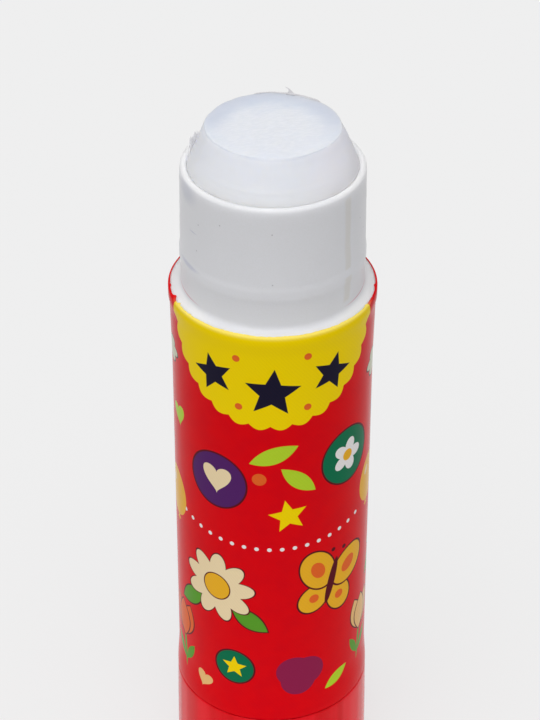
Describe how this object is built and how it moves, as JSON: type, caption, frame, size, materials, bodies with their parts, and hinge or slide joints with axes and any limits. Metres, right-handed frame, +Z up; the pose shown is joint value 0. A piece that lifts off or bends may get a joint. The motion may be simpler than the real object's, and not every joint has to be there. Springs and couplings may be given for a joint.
{
  "type": "glue stick",
  "caption": "Upright twist-up glue stick with its cap off: a red knob turns an inner screw that lifts the glue in its cup up through a white neck.",
  "frame": {"origin": "centre of the knob's foot, on the surface that the stick stands on", "axes": "+Z up along the stick, from the knob to the glue; the label's main field faces -Y"},
  "size_m": [0.0302, 0.0302, 0.1134],
  "materials": {
    "barrel_white": "glossy moulded",
    "sleeve_white": "satin extruded",
    "label_film": "glossy printed film",
    "knob_red": "high gloss moulded",
    "screw_plastic": "plain moulded",
    "carrier_plastic": "plain moulded",
    "glue": "translucent, smeared by use"
  },
  "bodies": {
    "housing": {"inner_barrel": "barrel_white", "outer_sleeve": "sleeve_white", "printed_label": "label_film"},
    "drive": {"twist_knob": "knob_red", "lift_screw": "screw_plastic"},
    "lift": {"glue_carrier": "carrier_plastic", "glue_plug": "glue"}
  },
  "joints": [
    {"name": "knob_turn", "type": "hinge", "parent": "housing", "child": "drive", "pos_m": [0, 0, 0.008], "axis": [0, 0, -1], "range_deg": [-524, 2926]},
    {"name": "carrier_slide", "type": "slide", "parent": "housing", "child": "lift", "axis": [0, 0, 1], "range_m": [-0.0116, 0.065]}
  ],
  "couplings": [
    {"joint": "knob_turn", "follows": "carrier_slide", "rad_per_m": 785.4}
  ]
}
